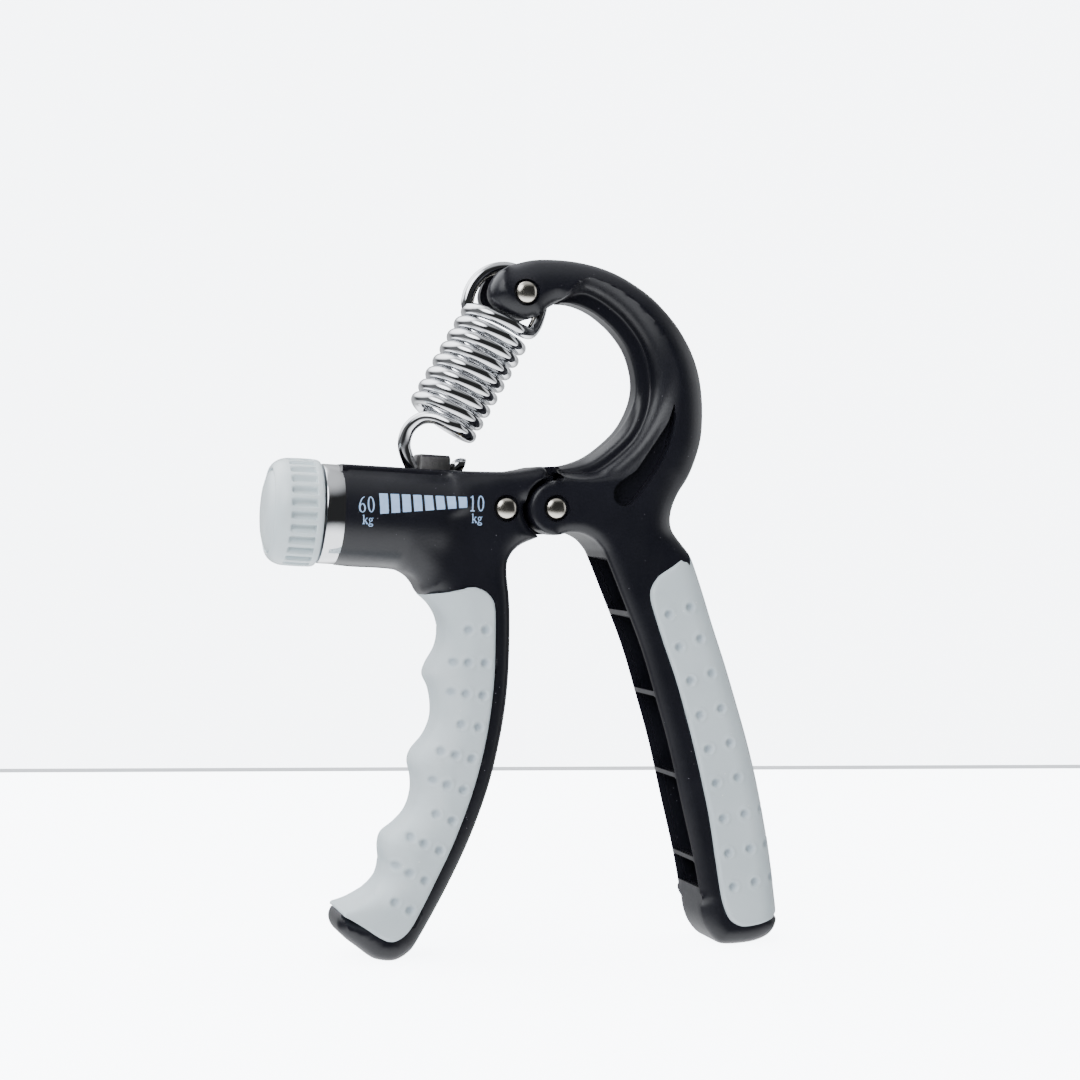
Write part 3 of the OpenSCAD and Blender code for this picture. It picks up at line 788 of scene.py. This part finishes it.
def spring():
    hook = [(-18.3, 0, 104.9), (-19.3, 0, 105.0), (-20.6, 0.2, 103.6), (-22.4, 0.3, 101.2), (-25, 0.2, 100.1),
            (-27.6, 0, 101.2), (-29.3, -0.1, 103.8), (-30.8, -0.3, 106.6), (-31.5, -0.7, 109.6),
            (-30.6, -1.5, 112.7), (-28.3, -3.0, 114.7), (-25.6, -4.9, 114.8)]
    low = [coil_point(t) for t in np.linspace(-0.22, 0.0, 5)]
    lower = curve([np.array(p) for p in hook] + low, 8)
    lower = resample(lower, 0.35, closed=False)
    hook_piece = tube("spring_hook_wire", lower, WIRE, CHROME)
    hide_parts("spring_lower_hook")
    foot = to_world([COIL_START - AXIS * 9])[0]
    head = to_world([COIL_START - AXIS * 1.5])[0]
    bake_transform(hook_piece)
    turns = [coil_point(t) for t in np.arange(0, TURNS - 0.1, 0.05)]
    rise = [(-4.4, -2.8, 133.4), (-2.8, -1.3, 134.8), (-1.8, -0.3, 136.6)]
    around = np.radians(np.arange(0, 184, 12))
    loop = [LOOP + LOOP_R * np.array([math.cos(a), 0, math.sin(a)]) for a in around]
    end = [(-16.2, -0.3, 137.4), (-15.3, -0.6, 136.6)]
    top = curve([np.array(p, float) for p in turns[-6:] + rise + loop + end], 6)
    coil = resample(np.vstack([curve([np.array(p) for p in turns], 3)[:-16], top[1:]]), 0.35, closed=False)
    coil_piece = tube("spring_coil_wire", coil, WIRE, CHROME)
    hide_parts("spring_coil", "spring_end_turn", "spring_upper_loop")
    start = to_world([COIL_START])[0]
    stop = to_world([COIL_START + AXIS * (PITCH * TURNS)])[0]
    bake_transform(coil_piece)


spring()


# ---------------------------------------------------------------- knob and collar

AXIS_OUT = (-math.cos(TILT), 0, math.sin(TILT))


def on_axis(u):
    x, z = barrel_point(u, 0)
    return (x, 0, z)


def knob():
    flutes = 26

    def fluted(angle, along, r):
        ridge = smooth(1.35 - 2.0 * abs((angle * flutes / (2 * math.pi)) % 1 - 0.5) / 0.62)
        start = smooth((along - 1.5) / 0.25)
        finish = smooth((along - 6.4) / 0.8)
        return r - 1.2 * start * (1 - finish) * (1 - ridge)

    # Distances run outwards from the barrel side of the knob
    side = [(0, 9), (0, 10.7), (0.2, 11.1), (0.55, 11.3), (1.2, 11.4), (1.5, 11.4), (1.58, 11.4),
            (1.66, 11.4), (1.75, 11.42), (2.2, 11.45), (3, 11.45), (4.5, 11.45), (6, 11.4), (6.4, 11.39),
            (6.6, 11.38), (6.8, 11.37), (7.0, 11.35), (7.2, 11.32), (7.6, 11.24), (8.1, 11.1), (8.6, 10.9),
            (9.1, 10.6), (9.5, 10.3), (9.8, 9.98), (10.05, 9.65), (10.2, 9.35), (10.2, 9.2), (10.05, 9.06),
            (9.6, 9.0), (9.0, 8.95)]
    ring = lathe("knob_ring", side, on_axis(-4.4), AXIS_OUT, FROSTED, flutes * 14, fluted)
    place(ring, "adjuster", "knob_plastic", "knob")
    dome = [(9.0, 8.6), (9.75, 8.6), (10.05, 8.45), (10.35, 8.1), (10.75, 7.4), (11.1, 6.2), (11.3, 5.0),
            (11.4, 3.6), (11.45, 1.8), (11.46, 0.4)]
    cap = lathe("knob_dome", dome, on_axis(-4.4), AXIS_OUT, FROSTED, 96)
    place(cap, "adjuster", "knob_plastic", "knob_cap")
    band = [(-0.3, 9.5), (-0.3, 10.2), (-0.15, 10.45), (0.1, 10.6), (3.65, 10.6), (3.85, 10.5), (3.9, 10.2),
            (3.9, 9)]
    collar = lathe("collar_band", band, on_axis(0), AXIS_OUT, CHROME, 160)
    place(collar, "front", "chrome", "barrel_collar")


knob()


# ---------------------------------------------------------------- rivets, link, slider

def rivet_head(name, centre, body, node):
    """A pin from side to side with a domed head at each end."""
    half = HANDLE_HALF - 0.25
    profile = [(-half - 0.75, 0.15), (-half - 0.7, 0.9), (-half - 0.5, 1.55), (-half - 0.2, 2.05),
               (-half + 0.15, 2.32), (-half + 0.8, 2.38), (-half + 1.2, 2.3), (-half + 1.3, 2.0)]
    profile += [(-a, r) for a, r in reversed(profile)]
    pin = lathe(name, profile, (centre[0], 0, centre[1]), (0, 1, 0), NICKEL, 48, smooth_angle=60)
    place(pin, body, "nickel", node)


rivet_head("link_rivet_domed", RIVET, "front", "link_rivet")
rivet_head("hinge_pin_domed", HINGE, "rear", "hinge_pin")
rivet_head("spring_pin_domed", SPRING_PIN, "rear", "spring_pin")


def slider_block():
    """The pointer block on the slider, with its long edges bevelled and its corners eased."""
    half, base, top, bevel = 4.0, 8.0, 13.9, 0.9
    section = [(-half, base), (-half, top - bevel), (-half + 0.35 * bevel, top - 0.35 * bevel),
               (-half + bevel, top), (half - bevel, top), (half - 0.35 * bevel, top - 0.35 * bevel),
               (half, top - bevel), (half, base)]
    stations = [(SLIDER_AT - 3.35, 0.5), (SLIDER_AT - 3.2, 0.2), (SLIDER_AT - 2.9, 0.0),
                (SLIDER_AT + 3.1, 0.0), (SLIDER_AT + 3.35, 0.25)]
    verts, faces = [], []
    for u, inset in stations:
        for y, w in section:
            x, z = barrel_point(u, w - inset if w > base else w)
            verts.append((x, y * (1 - inset / half), z))
    n = len(section)
    for i in range(len(stations) - 1):
        faces += [(i * n + k, i * n + (k + 1) % n, (i + 1) * n + (k + 1) % n,
                   (i + 1) * n + k) for k in range(n)]
    faces += [tuple(range(n)), tuple((len(stations) - 1) * n + k for k in range(n))]
    block = make_object("slider_block", to_world(verts), faces, SINTERED, 30)
    groove = [barrel_point(*p) for p in ((14, 5), (27, 5), (27, 10.9), (14, 10.9))]
    carve(block, prism(groove, -HOOK_SLOT_HALF, HOOK_SLOT_HALF))
    place(block, "slider", "slider_metal")
    foot = [barrel_point(*p) for p in ((14.1, -4.2), (18.9, -4.2), (18.9, 8.0), (14.1, 8.0))]
    nut_box = prism(foot, -4.0, 4.0)
    nut_box.name = "slider_foot"
    nut_box.data.materials.append(SINTERED)
    throat = [barrel_point(*p) for p in ((14, 5), (19, 5), (19, 9), (14, 9))]
    carve(nut_box, prism(throat, -HOOK_SLOT_HALF, HOOK_SLOT_HALF), screw_hole())
    place(nut_box, "slider", "slider_metal", "slider")


def screw_hole():
    """A cutter for the nut's seat in the slider."""
    return lathe("cutter", [(0, 3.4), (8, 3.4)], on_axis(20), AXIS_OUT, None, 48)


def node_material(material, *names):
    for name in names:
        obj = frame["nodes"][name]
        obj.data.materials.clear()
        obj.data.materials.append(material)


slider_block()
node_material(BLACK, "hinge_link")
node_material(NICKEL, "retaining_clip", "pin_sleeve", "lead_screw")
node_material(BRASS, "screw_bush", "tail_bush", "slider_nut")


# ---------------------------------------------------------------- print on the barrel

def decal(name, shapes, lift=0.04):
    """Ink laid just above the front handle's surface; a shape is a list of closed [x, z] loops and holes."""
    verts, faces = [], []
    for loops in shapes:
        edges = [resample(np.asarray(loop, float), 0.12) for loop in loops]

        def within(points, edges=edges):
            return np.logical_xor.reduce([inside(points, edge) for edge in edges])

        lo, hi = edges[0].min(0), edges[0].max(0)
        gx, gz = np.meshgrid(np.arange(lo[0], hi[0], 0.3), np.arange(lo[1], hi[1], 0.3), indexing="ij")
        g = np.stack([gx.ravel(), gz.ravel()], 1)
        g = g[within(g)]
        for edge in edges:
            g = g[distance(g, edge, True) > 0.1] if len(g) else g
        rings, first = [], 0
        for edge in edges:
            rings.append(list(range(first, first + len(edge))))
            first += len(edge)
        segments = [(r[i], r[(i + 1) % len(r)]) for r in rings for i in range(len(r))]
        result = delaunay_2d_cdt([Vector(p) for p in np.vstack(edges + [g])], segments, [], 1, 1e-6)
        flat = np.array([(v.x, v.y) for v in result[0]])
        tris = [t for t in result[2] if within(flat[list(t)].mean(0)[None])[0]]
        h = front_height(flat)
        base, n = len(verts), len(flat)
        verts += [(p[0], -hh - lift, p[1]) for p, hh in zip(flat, h)]
        verts += [(p[0], -hh + 0.1, p[1]) for p, hh in zip(flat, h)]
        faces += [tuple(base + i for i in t) for t in tris]
        faces += [tuple(base + n + i for i in reversed(t)) for t in tris]
        count = {}
        for t in tris:
            for a, b in ((t[0], t[1]), (t[1], t[2]), (t[2], t[0])):
                count.setdefault(frozenset((a, b)), []).append((a, b))
        for sides in count.values():
            if len(sides) == 1:
                a, b = sides[0]
                faces.append((base + b, base + a, base + n + a, base + n + b))
    return make_object(name, to_world(verts), faces, INK, 50)


def ellipse(x, z, rx, rz, n=28):
    a = np.linspace(0, 2 * math.pi, n, endpoint=False)
    return np.stack([x + rx * np.cos(a), z + rz * np.sin(a)], 1)


# Narrow serif digits and letters, one unit high
GLYPHS = {
    "0": [[ellipse(0.23, 0.5, 0.22, 0.5), ellipse(0.23, 0.5, 0.125, 0.44)]],
    "1": [[[(0.08, 0), (0.38, 0), (0.38, 0.05), (0.285, 0.08), (0.285, 1.0), (0.24, 1.0), (0.08, 0.88),
            (0.08, 0.84), (0.18, 0.87), (0.18, 0.08), (0.08, 0.05)]]],
    "6": [[curve([(0.4, 1.0), (0.27, 0.94), (0.14, 0.78), (0.04, 0.55), (0.0, 0.32), (0.05, 0.1), (0.21, 0.0),
                  (0.38, 0.08), (0.44, 0.29), (0.38, 0.5), (0.25, 0.58), (0.13, 0.52), (0.17, 0.7),
                  (0.27, 0.87), (0.4, 0.96)], 5), ellipse(0.23, 0.28, 0.115, 0.235)]],
    "k": [[[(0.0, 0), (0.24, 0), (0.24, 0.05), (0.18, 0.07), (0.18, 0.27), (0.24, 0.33), (0.4, 0.07),
            (0.36, 0.05), (0.36, 0), (0.62, 0), (0.62, 0.05), (0.56, 0.07), (0.32, 0.42), (0.46, 0.59),
            (0.56, 0.62), (0.56, 0.66), (0.34, 0.66), (0.34, 0.62), (0.38, 0.6), (0.18, 0.38), (0.18, 1.0),
            (0.0, 0.95), (0.0, 0.91), (0.07, 0.9), (0.07, 0.07), (0.0, 0.05)]]],
    "g": [[ellipse(0.24, 0.45, 0.2, 0.21), ellipse(0.24, 0.45, 0.1, 0.15)],
          [ellipse(0.25, -0.1, 0.26, 0.17), ellipse(0.25, -0.1, 0.17, 0.08)],
          [[(0.42, 0.58), (0.54, 0.6), (0.54, 0.68), (0.4, 0.64)]],
          [[(0.06, 0.09), (0.14, 0.07), (0.2, 0.22), (0.13, 0.26)]]],
}


def word(text, x, z, height, advance):
    """Glyph outlines for a short text with its lower left corner at [x, z]."""
    shapes = []
    for i, letter in enumerate(text):
        for loops in GLYPHS[letter]:
            shapes.append([np.asarray(loop, float) * height + (x + i * advance, z) for loop in loops])
    return shapes


def scale_print():
    shapes = []
    for i in range(8):
        x0 = -38.7 + 2.42 * i
        x1 = x0 + 1.82
        low = 94.45 + 0.17 * i
        high = 98.75 - 0.1 * i
        shapes.append([[(x0, low), (x1, low + 0.1), (x1, high - 0.05), (x0, high)]])
    shapes += word("60", -43.2, 94.75, 3.35, 1.85) + word("kg", -42.45, 92.3, 2.0, 1.25)
    shapes += word("10", -19.4, 94.95, 3.35, 1.85) + word("kg", -18.75, 92.5, 2.0, 1.25)
    place(decal("scale_print", shapes), "front", "print", "scale_marks")


scale_print()


# ---------------------------------------------------------------- stage, lights and camera

# Camera place and turn, the lights' strengths, and the glow and place of the studio's sheets
CAMERA_AT, CAMERA_TURN = (HINGE_X - 0.1388, -0.5029, 0.0959), math.radians(15.3)
AMBIENT, FILL, TOP = 0.03, 9.0, 4.0
# The faint grey glow of the strip where the floor ends is painted shade.
FLOOR_GLOW, WALL_GLOW, SEAM_SHADE_GLOW = 8.0, 6.4, 0.9
SEAM_AWAY, SEAM_SKEW, SEAM_HEIGHT = 0.872, math.radians(2), 0.0014

def sheet(name, corners, material):
    """A flat piece of the studio around the object, which only the camera sees."""
    mesh = bpy.data.meshes.new(name)
    mesh.from_pydata(corners, [], [tuple(range(len(corners)))])
    mesh.materials.append(material)
    obj = bpy.data.objects.new(name, mesh)
    bpy.context.scene.collection.objects.link(obj)
    obj.visible_glossy = obj.visible_diffuse = obj.visible_shadow = False


def studio_white(name, low, high, glow):
    """A pale studio surface that glows like an overexposed backdrop."""
    m = Nodes(name)
    m.link(m.ramp(m.noise(8.0, 2.0), [(0.3, (*low, 1)), (0.7, (*high, 1))]), "Base Color")
    m.set(Roughness=0.6, Specular_IOR_Level=0.2, Emission_Color=(0.90, 0.945, 1.0, 1), Emission_Strength=glow)
    return m.material


def stage():
    """A white floor that ends at a thin grey strip of painted shade along its far edge, and a backdrop all
    round, far behind it.
    """
    white = studio_white("studio_floor", (0.87, 0.88, 0.89), (0.89, 0.90, 0.91), FLOOR_GLOW)
    wall = studio_white("studio_wall", (0.80, 0.81, 0.83), (0.82, 0.83, 0.85), WALL_GLOW)
    # The grey strip at the floor's far edge is painted shade in the crease, lit by its own glow.
    seam_shade = studio_white("studio_seam_shade", (0.30, 0.31, 0.33), (0.34, 0.35, 0.37), SEAM_SHADE_GLOW)
    ahead = np.array([math.sin(CAMERA_TURN), math.cos(CAMERA_TURN)])
    side = np.array([ahead[1], -ahead[0]])
    edge = np.array(CAMERA_AT[:2]) + ahead * SEAM_AWAY
    side = side * math.cos(SEAM_SKEW) + ahead * math.sin(SEAM_SKEW)
    a, b = edge - side * 1.6, edge + side * 1.6
    sheet("floor", [(-3, -2, 0), (3, -2, 0), (*b, 0), (*a, 0)], white)
    sheet("seam_shade", [(*a, 0), (*b, 0), (*b, SEAM_HEIGHT), (*a, SEAM_HEIGHT)], seam_shade)
    ring = [(3.5 * math.cos(t), 3.5 * math.sin(t)) for t in np.linspace(0, 2 * math.pi, 25)]
    for i in range(24):
        sheet("wall_%02d" % i, [(*ring[i], -2), (*ring[i + 1], -2), (*ring[i + 1], 3), (*ring[i], 3)], wall)


def area_light(name, location, target, size, power, color=(1, 1, 1)):
    """A soft light that the glossy surfaces don't mirror."""
    data = bpy.data.lights.new(name, "AREA")
    data.shape = "RECTANGLE"
    data.size, data.size_y = size
    data.energy = power
    data.color = color
    obj = bpy.data.objects.new(name, data)
    obj.location = location
    obj.rotation_euler = (Vector(target) - Vector(location)).to_track_quat("-Z", "Y").to_euler()
    obj.visible_glossy = False
    bpy.context.scene.collection.objects.link(obj)


# Soft bright patches of the studio: direction, radii of core and faded edge in degrees, and strength
PATCHES = [((-0.6, 0.5, 0.7), 14, 42, 4.0), ((0.0, 0.0, -1.0), 40, 76, 2.8), ((0.26, 0.96, 0.0), 30, 62, 0.7),
           ((0.0, 0.1, 1.0), 10, 60, 0.8), ((-0.6, -0.5, 0.6), 12, 28, 5.5), ((1.0, 0.1, 0.1), 8, 34, 1.3),
           ((-1.0, 0.1, 0.0), 10, 50, 0.15)]


def lights():
    world = bpy.data.worlds.new("studio")
    bpy.context.scene.world = world
    world.use_nodes = True
    tree = world.node_tree
    background = tree.nodes["Background"]
    background.inputs["Color"].default_value = (0.95, 0.97, 1.0, 1)
    direction = tree.nodes.new("ShaderNodeTexCoord").outputs["Generated"]
    total = None
    for toward, core, fade, strength in PATCHES:
        facing = tree.nodes.new("ShaderNodeVectorMath")
        facing.operation = "DOT_PRODUCT"
        facing.inputs[1].default_value = Vector(toward).normalized()
        tree.links.new(direction, facing.inputs[0])
        patch = tree.nodes.new("ShaderNodeMapRange")
        patch.interpolation_type = "SMOOTHSTEP"
        patch.inputs["From Min"].default_value = math.cos(math.radians(fade))
        patch.inputs["From Max"].default_value = math.cos(math.radians(core))
        patch.inputs["To Min"].default_value = 0.0 if total else AMBIENT
        patch.inputs["To Max"].default_value = strength
        tree.links.new(facing.outputs["Value"], patch.inputs["Value"])
        if total:
            both = tree.nodes.new("ShaderNodeMath")
            tree.links.new(total, both.inputs[0])
            tree.links.new(patch.outputs["Result"], both.inputs[1])
            total = both.outputs["Value"]
        else:
            total = patch.outputs["Result"]
    tree.links.new(total, background.inputs["Strength"])
    area_light("fill", (-0.35, -0.85, 0.55), (0, 0, 0.06), (0.7, 0.7), FILL)
    area_light("top", (0.1, 0.1, 0.9), (0, 0, 0), (0.5, 0.5), TOP)


def camera():
    data = bpy.data.cameras.new("camera")
    data.lens, data.sensor_width = 80, 36
    obj = bpy.data.objects.new("camera", data)
    obj.location = CAMERA_AT
    obj.rotation_euler = Euler((math.radians(90 - 0.79), 0, -CAMERA_TURN))
    bpy.context.scene.collection.objects.link(obj)
    bpy.context.scene.camera = obj


camera()
stage()
lights()
